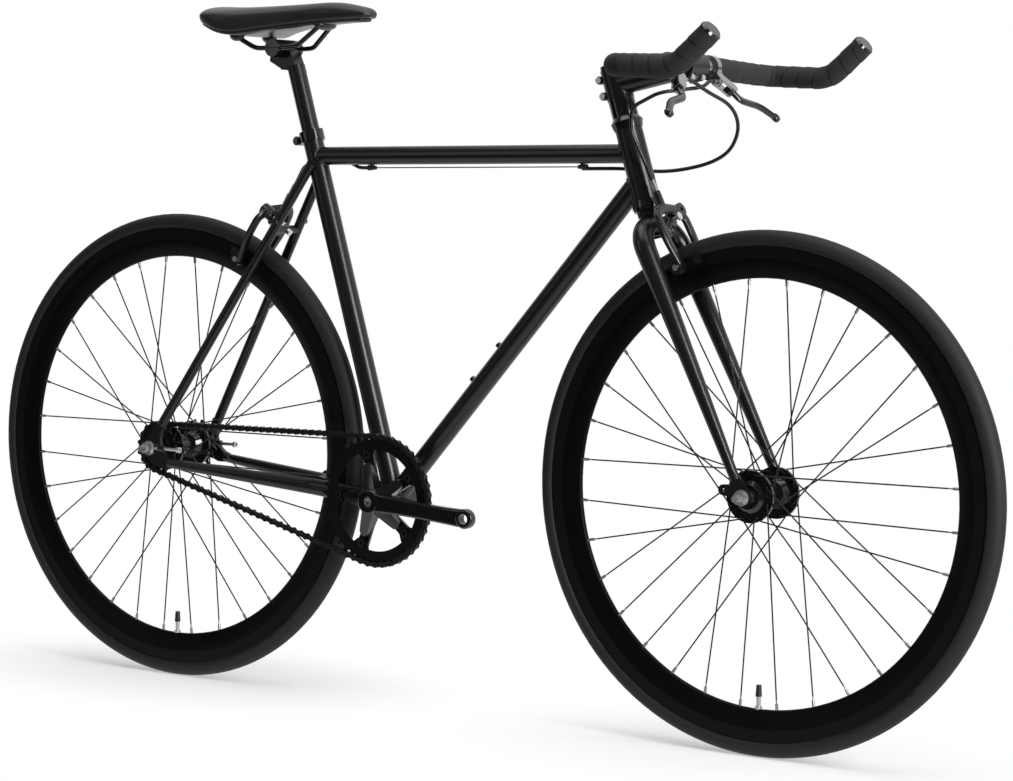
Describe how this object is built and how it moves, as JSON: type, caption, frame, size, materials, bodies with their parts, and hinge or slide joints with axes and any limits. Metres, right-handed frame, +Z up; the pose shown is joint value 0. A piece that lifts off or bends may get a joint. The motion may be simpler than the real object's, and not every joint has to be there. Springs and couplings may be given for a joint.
{
  "type": "fixed gear bicycle",
  "caption": "Steel-tubed fixed gear bicycle with bullhorn bar, deep rims, fixed chain drive, calliper brakes and no pedals.",
  "frame": {"origin": "on the ground, midway between the two wheels, in the middle plane", "axes": "+X forward to the front wheel, +Y to the rider's left, +Z up"},
  "size_m": [1.6628, 0.4216, 0.9791],
  "materials": {
    "frame_paint": "satin black paint",
    "black_alloy": "black anodised alloy",
    "rim_paint": "satin black rim",
    "black_steel": "blackened steel",
    "bright_steel": "bright plated steel",
    "tyre": "charcoal rubber, fine ribs",
    "tube_rubber": "butyl with bright valve",
    "saddle_vinyl": "matt black vinyl",
    "bar_tape": "matt foam tape, wound",
    "black_plastic": "black plastic"
  },
  "bodies": {
    "frame": {"head_tube": "frame_paint", "top_tube": "frame_paint", "down_tube": "frame_paint", "seat_tube": "frame_paint", "bottom_bracket_shell": "frame_paint", "chainstays": "frame_paint", "seatstays": "frame_paint", "track_ends": "frame_paint", "bridges_and_stops": "frame_paint", "frame_bolts": "bright_steel", "chain_tensioners": "bright_steel", "seat_clamp": "black_alloy", "headset_cups": "black_alloy", "bottom_bracket_cups": "black_alloy", "rear_axle": "bright_steel", "chain": "black_steel", "rear_brake_cable": "black_plastic", "rear_cable_loop": "black_plastic", "rear_calliper_bolt": "bright_steel"},
    "seat": {"seatpost": "black_alloy", "saddle_clamp": "black_alloy", "saddle_rails": "black_steel", "saddle_shell": "black_plastic", "saddle_cover": "saddle_vinyl"},
    "crankset": {"bottom_bracket_spindle": "black_steel", "right_crank": "black_alloy", "left_crank": "black_alloy", "chainring": "black_alloy", "crank_bolts": "bright_steel"},
    "rear_wheel": {"rear_tyre": "tyre", "rear_inner_tube": "tube_rubber", "rear_rim": "rim_paint", "rear_spokes": "black_steel", "rear_hub": "black_alloy", "rear_cog": "black_steel"},
    "freewheel": {"freewheel_sprocket": "black_steel"},
    "fork": {"fork_steerer": "frame_paint", "fork_blades": "frame_paint", "headset_spacers": "black_alloy", "stem": "black_alloy", "stem_faceplate": "black_alloy", "stem_bolts": "bright_steel", "handlebar": "black_alloy", "bar_tapes": "bar_tape", "bar_end_plugs": "black_plastic", "lever_brackets": "black_alloy", "front_axle": "bright_steel", "front_brake_cable": "black_plastic", "front_calliper_bolt": "bright_steel"},
    "front_wheel": {"front_tyre": "tyre", "front_inner_tube": "tube_rubber", "front_rim": "rim_paint", "front_spokes": "black_steel", "front_hub": "black_alloy"},
    "left_lever": {"left_brake_lever": "black_alloy"},
    "right_lever": {"right_brake_lever": "black_alloy"},
    "front_anchor_arm": {"front_calliper_anchor_arm": "black_alloy"},
    "front_adjuster_arm": {"front_calliper_adjuster_arm": "black_alloy"},
    "rear_anchor_arm": {"rear_calliper_anchor_arm": "black_alloy"},
    "rear_adjuster_arm": {"rear_calliper_adjuster_arm": "black_alloy"}
  },
  "joints": [
    {"name": "steering", "type": "hinge", "parent": "frame", "child": "fork", "pos_m": [0.31483, 0, 0.69137], "axis": [-0.309, 0, 0.9511], "range_deg": [-45, 45], "deforming": ["rear_cable_loop"]},
    {"name": "front_wheel_spin", "type": "hinge", "parent": "fork", "child": "front_wheel", "pos_m": [0.49241, 0, 0.339], "axis": [0, 1, 0], "continuous": true},
    {"name": "rear_wheel_spin", "type": "hinge", "parent": "frame", "child": "rear_wheel", "pos_m": [-0.49241, 0, 0.339], "axis": [0, 1, 0], "continuous": true, "deforming": ["chain"]},
    {"name": "crank_spin", "type": "hinge", "parent": "frame", "child": "crankset", "pos_m": [-0.09589, 0, 0.2903], "axis": [0, 1, 0], "continuous": true},
    {"name": "freewheel_spin", "type": "hinge", "parent": "rear_wheel", "child": "freewheel", "pos_m": [-0.49241, 0, 0.339], "axis": [0, 1, 0], "continuous": true},
    {"name": "left_brake_lever", "type": "hinge", "parent": "fork", "child": "left_lever", "pos_m": [0.39306, 0.06399, 0.8573], "axis": [0.766, 0, 0.6428], "range_deg": [0, 24], "stiffness_Nm_per_rad": 1.5},
    {"name": "right_brake_lever", "type": "hinge", "parent": "fork", "child": "right_lever", "pos_m": [0.39306, -0.06399, 0.8573], "axis": [-0.766, 0, -0.6428], "range_deg": [0, 24], "stiffness_Nm_per_rad": 1.5},
    {"name": "front_anchor_arm", "type": "hinge", "parent": "fork", "child": "front_anchor_arm", "pos_m": [0.34418, 0, 0.68535], "axis": [-0.893, 0, -0.45], "range_deg": [0, 1.3], "deforming": ["front_brake_cable"]},
    {"name": "front_adjuster_arm", "type": "hinge", "parent": "fork", "child": "front_adjuster_arm", "pos_m": [0.34771, 0.017, 0.69945], "axis": [0.893, 0, 0.45], "range_deg": [0, 1.12]},
    {"name": "rear_anchor_arm", "type": "hinge", "parent": "frame", "child": "rear_anchor_arm", "pos_m": [-0.31617, 0, 0.67197], "axis": [0.8529, 0, -0.522], "range_deg": [0, 1.3], "deforming": ["rear_brake_cable"]},
    {"name": "rear_adjuster_arm", "type": "hinge", "parent": "frame", "child": "rear_adjuster_arm", "pos_m": [-0.31853, -0.017, 0.68631], "axis": [-0.8529, 0, 0.522], "range_deg": [0, 1.12]},
    {"name": "seat_height", "type": "slide", "parent": "frame", "child": "seat", "axis": [-0.294, 0, 0.9558], "range_m": [-0.07, 0.05]}
  ],
  "couplings": [
    {"joint": "crank_spin", "follows": "rear_wheel_spin", "ratio": 0.38636},
    {"joint": "front_anchor_arm", "follows": "left_brake_lever", "ratio": 0.054167},
    {"joint": "front_adjuster_arm", "follows": "left_brake_lever", "ratio": 0.046667},
    {"joint": "rear_anchor_arm", "follows": "right_brake_lever", "ratio": 0.054167},
    {"joint": "rear_adjuster_arm", "follows": "right_brake_lever", "ratio": 0.046667}
  ]
}
